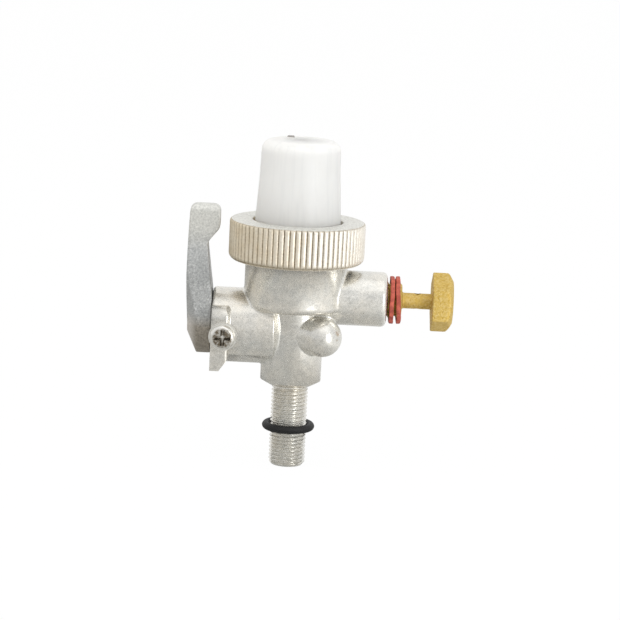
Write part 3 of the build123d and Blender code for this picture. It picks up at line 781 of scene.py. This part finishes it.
# %% [markdown]
# ## The hollow brass bolt
#
# The bolt is half unscrewed in the photograph. The CAD copy keeps only its waist with the
# cross hole: the thread is sewn on at one end, in the same way as the tank's but along X, and
# the head at the other. The head is a hexagon with soft edges. The distance from the axis to
# the side of a hexagon is apothem / cos(turn), where turn is the angle from the middle of the
# nearest side. That distance and a turned limit are combined by a soft minimum,
# (a^-p + b^-p)^(-1/p), which rounds the edges where the two cross.

# %% Waist of the bolt
bolt_low, bolt_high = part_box("banjo_bolt")
outlet_z = (bolt_low.z + bolt_high.z) / 2
head_thickness = 8.0 * mm
bolt_head_x = bolt_high.x - head_thickness
bolt_thread_end = 41.0 * mm
bolt_cut = bolt_thread_end - 0.05 * mm
waist_cut = bolt_head_x - 0.5 * mm
bolt_build = merged_copy("banjo_bolt")
cut_away(bolt_build, (bolt_cut, 0, 0), (-1, 0, 0))
cut_away(bolt_build, (waist_cut, 0, 0), (1, 0, 0))
print("kept of the solid bolt in mm:", round((waist_cut - bolt_cut) / mm, 2))

# %% Bolt thread
bolt_r = 6.95 * mm
bolt_bore_r = 1.7 * mm
bolt_tube = threaded_tube(
    length=bolt_cut - seam_gap - bolt_low.x,
    major_r=bolt_r,
    bore_r=bolt_bore_r,
    end_chamfer=1.0 * mm,
    start_r=bolt_r - 0.7 * mm,
    fade_top=0.8 * mm,
)
to_minus_x = Matrix.Rotation(radians(90), 4, "Y")
thread_place = Matrix.Translation((bolt_cut - seam_gap, 0, outlet_z)) @ to_minus_x
sew_on(bolt_build, bolt_tube, thread_place, (bolt_r + bolt_bore_r) / 2)
print("thread of the bolt in mm:", round((bolt_thread_end - bolt_low.x) / mm, 2))

# %% Sizes of the bolt's head
waist_r = 3.0 * mm
head_apothem = (bolt_high.y - bolt_low.y) / 2
head_corner_r = (bolt_high.z - bolt_low.z) / 2
head_face_r = 8.2 * mm
head_chamfer = 1.8 * mm
head_edge_r = 0.5 * mm
edge_power = 26
pole_r = 0.001 * mm
print("hexagon in mm across flats:", round(2 * head_apothem / mm, 2))


# %% Bolt head
def soft_hexagon_head(columns=180):
    """Rows from the waist out, up the rounded side and over the chamfer to the face's middle.

    Each section of rows has a height, a turned limit and how far the hexagon is drawn in.
    """
    turn = np.linspace(0, 2 * pi, columns, endpoint=False) % (pi / 3) - pi / 6
    side = head_apothem / np.cos(turn)
    corner = np.linspace(0, pi / 2, 6)
    under = np.linspace(waist_r, head_corner_r, 10)
    upright = np.linspace(head_edge_r, head_thickness, 36)[1:]
    front = np.linspace(head_face_r, 0, 9)[1:]
    cone = head_face_r + (head_thickness - upright) * (head_corner_r - head_face_r) / head_chamfer
    far = 4 * head_corner_r
    sections = [
        (np.array([-seam_gap]), waist_r, 0),
        (0 * under, under, head_edge_r),
        (head_edge_r * (1 - np.cos(corner)), far, head_edge_r * (1 - np.sin(corner))),
        (upright, cone, 0),
        (0 * front + head_thickness, front, 0),
    ]
    stacked = [np.stack(np.broadcast_arrays(*section)) for section in sections]
    height, limit, inset = np.concatenate(stacked, axis=1)
    limit = np.maximum(limit, pole_r)[:, None]
    hexagon = side[None, :] - inset[:, None]
    radius = (limit**-edge_power + hexagon**-edge_power) ** (-1 / edge_power)
    return around(radius, height, columns)


head_place = Matrix.Translation((bolt_head_x, 0, outlet_z)) @ to_minus_x
sew_on(bolt_build, soft_hexagon_head(), head_place, 0)
bolt_mesh = finished_mesh(bolt_build, bpy.data.meshes.new("hollow_bolt"))


# %% Brass
def brass_finish():
    """Dull yellow brass with a coarse grain and darker specks."""
    finish = Finish("grainy_brass", {"Metallic": 0.85})
    grain = finish.noise(1200, 3, 0.7)
    specks = finish.step(finish.noise(1000, 2, 0.6), 0.54, 0.66)
    clouds = finish.noise(150, 2, 0.5)
    gold = finish.mix(clouds, colour(0.56, 0.38, 0.08), colour(0.66, 0.48, 0.14))
    gold = finish.mix(finish.step(grain, 0.45, 0.62) * 0.5, gold, colour(0.80, 0.66, 0.34))
    finish.feed("Base Color", finish.mix(specks * 0.6, gold, colour(0.50, 0.32, 0.06)))
    finish.feed("Roughness", 0.46 + grain * 0.25)
    finish.feed("Normal", finish.bump(grain - specks * 0.4, 0.9, 0.14 * mm))
    return finish


brass = brass_finish()
piece(bolt_mesh, "banjo_bolt", brass.material, "banjo_bolt", smooth_angle=28)

# %% [markdown]
# ## The red washers
#
# Two fibre washers seal the bolt. They were squeezed once, so their rims are uneven and
# their faces wavy. The solids are flat rings, and the outer one leans, because it hangs
# loosely on the thread. A voxel remesh gives them small even faces. Two sines of the turn
# round the axis then bend the faces, and two more dent the rims.

# %% Red fibre
def red_finish():
    """Terracotta fibre in two reds, with dark specks."""
    finish = Finish("red_fibre", {"Metallic": 0.0})
    grain = finish.noise(1700, 3, 0.7)
    clouds = finish.noise(380, 3, 0.6)
    red = finish.mix(finish.spread(clouds), colour(0.26, 0.035, 0.02), colour(0.46, 0.09, 0.055))
    specks = finish.step(grain, 0.52, 0.7) * 0.7
    finish.feed("Base Color", finish.mix(specks, red, colour(0.12, 0.02, 0.015)))
    finish.feed("Roughness", 0.45 + grain * 0.25)
    finish.feed("Normal", finish.bump(clouds * 0.6 + grain * 0.4, 0.7, 0.15 * mm))
    return finish


red_fibre = red_finish()
print(red_fibre.material.name, "nodes:", len(red_fibre.tree.nodes))

# %% Washers
washer_voxel = 0.2 * mm
kept_thickness = 0.94
wave_height = 0.09 * mm
full_wave_r = 9 * mm
rim_starts_r = 8 * mm
rim_dents = 0.16 * mm


def wave_rim(mesh, node, phase):
    """Bend a washer by two sines of the turn round its axis, and dent its rim inwards."""
    low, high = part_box(node)
    middle = (low.x + high.x) / 2
    points = np.empty(len(mesh.vertices) * 3, np.float32)
    mesh.vertices.foreach_get("co", points)
    points = points.reshape(-1, 3)
    turn = np.arctan2(points[:, 2] - outlet_z, points[:, 1])
    wave = np.sin(3 * turn + phase) + 0.7 * np.sin(7 * turn + 2 * phase)
    dent = rim_dents * (0.5 + 0.25 * np.sin(5 * turn + phase) + 0.25 * np.sin(11 * turn + 3 * phase))
    radius = np.hypot(points[:, 1], points[:, 2] - outlet_z)
    shrink = 1 - dent / radius * (radius > rim_starts_r)
    bend = wave * wave_height * (radius / full_wave_r) ** 2
    points[:, 0] = middle + (points[:, 0] - middle) * kept_thickness + bend
    points[:, 1] *= shrink
    points[:, 2] = outlet_z + (points[:, 2] - outlet_z) * shrink
    mesh.vertices.foreach_set("co", points.ravel())
    mesh.update()


for washer, phase in (("outlet_washer_inner", 0.6), ("outlet_washer_outer", 2.9)):
    copy = finished_mesh(merged_copy(washer), bpy.data.meshes.new("washer_copy"))
    fine = evaluated(copy, [("REMESH", {"mode": "VOXEL", "voxel_size": washer_voxel})])
    fine.name = "red_" + washer
    wave_rim(fine, washer, phase)
    piece(fine, "washers", red_fibre.material, washer, smooth_angle=50)


# %% [markdown]
# ## Rubber rings
#
# The ring on the stem is a torus with the faint flash line that its mould left round the
# outside. The others sit inside and keep their CAD form.

# %% Rubber
def rubber_finish():
    """Black rubber, a little greyer on the highest grain."""
    finish = Finish("black_rubber", {"Metallic": 0.0, "Specular IOR Level": 0.3})
    grain = finish.noise(1400, 3, 0.6)
    black = finish.mix(grain, colour(0.004, 0.004, 0.004), colour(0.016, 0.016, 0.017))
    finish.feed("Base Color", black)
    finish.feed("Roughness", 0.42 + grain * 0.25)
    finish.feed("Normal", finish.bump(grain, 0.3, 0.04 * mm))
    return finish


rubber = rubber_finish()
flash_height = 0.05 * mm
flash_width = 0.12
ring_box_low, ring_box_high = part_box("stem_ring")
ring_section_r = (ring_box_high.z - ring_box_low.z) / 2
ring_middle_z = (ring_box_high.z + ring_box_low.z) / 2
ring_middle_r = ring_box_high.x - ring_section_r
section_angle = np.linspace(0, 2 * pi, 28, endpoint=False)
flash = flash_height * np.exp(-((np.sin(section_angle) / flash_width) ** 2))
section_r = ring_section_r - flash_height + flash * (np.cos(section_angle) > 0)
torus_points = around(
    ring_middle_r + section_r * np.cos(section_angle),
    ring_middle_z + section_r * np.sin(section_angle),
    columns=96,
)
torus_mesh = closed_grid("rubber_stem_ring", torus_points, rows_wrap=True)
piece(torus_mesh, "body", rubber.material, "stem_ring", smooth_angle=60)
for hidden_ring in ("cup_gasket", "strainer_seal", "spool_ring_inner", "spool_ring_outer"):
    dress(hidden_ring, rubber.material)


# %% [markdown]
# ## The retaining screw
#
# The screw is bright plated steel with small stains. Blotchy brown sits in and round its cross
# recess, partly dirt and partly painted shade, with a bright spot in the middle. The finish mixes
# that in by the distance from the screw's axis.

# %% Plated screw
screw_low, screw_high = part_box("retaining_screw")
recess_r = 3.7 * mm


def plated_finish():
    """Bright plating with a blotchy brown recess, partly dirt and partly painted shade, that has a
    bright middle.
    """
    finish = Finish("bright_plating", {"Metallic": 0.95})
    x = finish.axis("X") - (screw_low.x + screw_high.x) / 2
    z = finish.axis("Z") - (screw_low.z + screw_high.z) / 2
    distance = (x * x + z * z) ** 0.5
    recess = 1 - finish.step(distance, recess_r - 0.3 * mm, recess_r + 0.3 * mm)
    middle = 1 - finish.step(distance, 0.4 * mm, 1.0 * mm)
    blotches = finish.step(finish.noise(900, 2, 0.6, 0.6), 0.40, 0.58)
    stains = finish.noise(1100, 3, 0.6)
    stained = finish.step(stains, 0.5, 0.7) * 0.5
    bright = finish.mix(stained, colour(0.90, 0.89, 0.85), colour(0.50, 0.45, 0.36))
    # Dirt and painted shade: the recess and the face round it darken in blotches, all but the middle.
    dirt_and_painted_shade = recess * (1 - middle) * (0.35 + 0.6 * blotches)
    finish.feed("Base Color", finish.mix(dirt_and_painted_shade, bright, colour(0.17, 0.13, 0.08)))
    finish.feed("Roughness", 0.22 + stains * 0.2)
    finish.feed("Normal", finish.bump(stains, 0.5, 0.05 * mm))
    return finish


plating = plated_finish()
dress("retaining_screw", plating.material)
dress("screw_washer", plating.material)


# %% Lever pin and valve spool
def plain_metal(name, shade, light, rough):
    """A machined metal with fine grain, for pieces that show little."""
    finish = Finish(name, {"Metallic": 1.0})
    grain = finish.noise(1300, 3, 0.6)
    finish.feed("Base Color", finish.mix(grain, shade, light))
    finish.feed("Roughness", rough + grain * 0.15)
    finish.feed("Normal", finish.bump(grain, 0.3, 0.05 * mm))
    return finish


steel = plain_metal("spring_steel", colour(0.30, 0.30, 0.31), colour(0.45, 0.45, 0.45), 0.35)
turned_brass = plain_metal("turned_brass", colour(0.70, 0.50, 0.16), colour(0.84, 0.64, 0.28), 0.22)
dress("lever_pin", steel.material)
dress("valve_spool", turned_brass.material)


# %% [markdown]
# ## The strainer inside
#
# The strainer stands inside the chamber and the foot of the cup, where little of it can be
# seen. Its gauze is a woven wire cloth: two sets of waves at right angles, one round the axis
# and one along it, give the colour and the bump.

# %% Gauze
wire_gap = 0.5 * mm
gauze_r = 8.5 * mm
wires_round = round(2 * pi * gauze_r / wire_gap)


def gauze_finish():
    """Woven wire: crossing waves along the height and round the tube."""
    finish = Finish("woven_wire", {"Metallic": 0.9})
    x, y, z = (finish.axis(name) for name in "XYZ")
    angle = finish.node("Math", {"operation": "ARCTAN2"}, {0: y, 1: x})
    upright = finish.node("Math", {"operation": "SINE"}, {0: angle * wires_round})
    level = finish.node("Math", {"operation": "SINE"}, {0: z * (2 * pi / wire_gap)})
    weave = upright * level * 0.5 + 0.5
    finish.feed("Base Color", finish.mix(weave, colour(0.16, 0.11, 0.03), colour(0.75, 0.58, 0.26)))
    finish.feed("Roughness", 0.55 - weave * 0.2)
    finish.feed("Normal", finish.bump(weave, 0.8, 0.15 * mm))
    return finish


woven_wire = gauze_finish()
dress("strainer_mesh", woven_wire.material)


# %% Frame and cap
def moulded_finish():
    """Cream moulded plastic with a fine spark-eroded skin."""
    finish = Finish("cream_plastic", {"Metallic": 0.0})
    grain = finish.noise(1200, 3, 0.6)
    finish.feed("Base Color", finish.mix(grain, colour(0.62, 0.60, 0.53), colour(0.72, 0.70, 0.63)))
    finish.feed("Roughness", 0.4 + grain * 0.15)
    finish.feed("Normal", finish.bump(grain, 0.4, 0.05 * mm))
    return finish


cream_plastic = moulded_finish()
dress("strainer_frame", cream_plastic.material)
dress("strainer_cap", cream_plastic.material)

# %% [markdown]
# ## Floor and light
#
# Floor and world are white. To the camera the floor shows as plain white, with a small share
# of real shading for the soft shadow. Reflections see it white on the object's right, and grey
# on its left and close underneath: every upright cylinder in the photograph is bright from
# its middle to the right, and darker on its left. The world is white behind the object and a
# little dimmer in front. The floor glows only for rays that start at the camera or leave a
# shiny or clear surface, so it lights nothing else.

# %% Floor
floor_z = stem_low - 0.6 * mm
floor_half = 20.0
view_lean = 0.14
floor_mesh = bpy.data.meshes.new("floor")
floor_corners = [(-1, -1), (1, -1), (1, 1), (-1, 1)]
floor_points = [(x * floor_half, y * floor_half, floor_z) for x, y in floor_corners]
floor_mesh.from_pydata(floor_points, [], [(0, 1, 2, 3)])
floor = bpy.data.objects.new("floor", floor_mesh)
bpy.context.scene.collection.objects.link(floor)
print("the floor is", round((stem_low - floor_z) / mm, 2), "mm below the stem")


# %% What the rays see
def ray_kinds(maker):
    """1 for a ray from the camera, and 1 for a ray that was mirrored or went through."""
    seen = maker.node("LightPath", output="Is Camera Ray")
    glossy = maker.node("LightPath", output="Is Glossy Ray")
    return seen, glossy + maker.node("LightPath", output="Is Transmission Ray")


white = colour(1.0, 1.0, 1.0)
front_white, back_white = colour(1.0, 0.99, 0.96), colour(0.86, 0.86, 0.85)
dim_side, under_shade = colour(0.48, 0.475, 0.455), colour(0.42, 0.42, 0.40)
camera_share = 0.985
mirror_share = 0.95

paper = Finish("white_paper", {"Base Color": colour(0.86, 0.86, 0.86), "Roughness": 0.9})
floor_x, floor_y = paper.axis("X"), paper.axis("Y")
lit_side = paper.step(floor_x + floor_y * view_lean, -10 * mm, 60 * mm)
away = paper.step((floor_x * floor_x + floor_y * floor_y) ** 0.5, 30 * mm, 120 * mm)
bright = paper.mix(paper.step(floor_y, -60 * mm, 60 * mm), front_white, back_white)
# Painted shadow: reflections see the floor grey close under the object. The grey on the left is
# painted shade.
reflected = paper.mix(away, under_shade, paper.mix(lit_side, dim_side, bright))
seen, mirrored = ray_kinds(paper)
glow = paper.node("Emission", {}, {"Color": paper.mix(seen, reflected, white)})
shown = seen * camera_share + mirrored * mirror_share
plain = Socket(paper, paper.shader.outputs[0])
paper.end_in(paper.node("MixShader", {}, {0: shown, 1: plain, 2: glow}), "Material Output")
paper.material.cycles.emission_sampling = "NONE"
floor_mesh.materials.append(paper.material)
print(paper.material.name, "nodes:", len(paper.tree.nodes))

# %% World
dim_level = 0.68
side_gain = 0.20
height_gain = 0.12
matt_level = 0.86

world = bpy.data.worlds.new("studio")
world.use_nodes = True
bpy.context.scene.world = world
world.cycles.sampling_method = "NONE"
sky = NodeMaker(world.node_tree, "Generated")
sky_x, sky_y, sky_z = (sky.axis(name) for name in "XYZ")
lit_side = sky.step(sky_x + sky_y * view_lean, -0.08, 0.32)
front_level = dim_level + lit_side * side_gain + sky.step(sky_z, 0.0, 1.0) * height_gain
mirror_level = front_level + (1 - front_level) * sky.step(sky_y, 0.0, 0.5)
seen, mirrored = ray_kinds(sky)
level = seen + (1 - seen) * (mirror_level * mirrored + (1 - mirrored) * matt_level)
sky.end_in(sky.node("Background", {}, {"Color": white, "Strength": level}), "World Output")
print(world.name, "nodes:", len(sky.tree.nodes))

# %% [markdown]
# Two wide lamps, a key and a fill, light only the matt surfaces, because as mirror images
# they would leave hard patches on the metal. Two weaker lamps are allowed to show: an upright
# strip close by on the right, for the thin bright line down each cylinder, and a soft one from
# above.

# %% Lamps
def soft_lamp(name, azimuth, elevation, distance, size, watts, tint=(1.0, 1.0, 1.0)):
    """A soft box aimed at the object; azimuth 0 is the camera's side, positive to the right."""
    light = bpy.data.lights.new(name, "AREA")
    light.shape = "RECTANGLE"
    light.size, light.size_y = size
    light.energy = watts
    light.color = tint
    lamp = bpy.data.objects.new(name, light)
    turn, rise = radians(azimuth), radians(elevation)
    out = Vector((sin(turn) * cos(rise), -cos(turn) * cos(rise), sin(rise)))
    lamp.location = camera_target + out * distance
    lamp.rotation_mode = "QUATERNION"
    lamp.rotation_quaternion = out.to_track_quat("Z", "Y")
    bpy.context.scene.collection.objects.link(lamp)
    print("lamp", name, "of", watts, "watts at", distance, "m")
    return lamp


warm_light = (1.0, 0.95, 0.88)
key = soft_lamp("key", azimuth=32, elevation=56, distance=1.1, size=(1.2, 1.1), watts=5.5)
fill = soft_lamp(
    "fill", azimuth=-60, elevation=48, distance=1.2, size=(1.2, 1.2), watts=5.5, tint=warm_light
)
soft_lamp("strip", azimuth=40, elevation=6, distance=0.30, size=(0.07, 0.20), watts=0.20)
soft_lamp("top", azimuth=15, elevation=66, distance=1.0, size=(1.0, 0.9), watts=1.0)
key.visible_glossy = False
fill.visible_glossy = False

# %% [markdown]
# The dressed model has to stay inside the box of the solids.
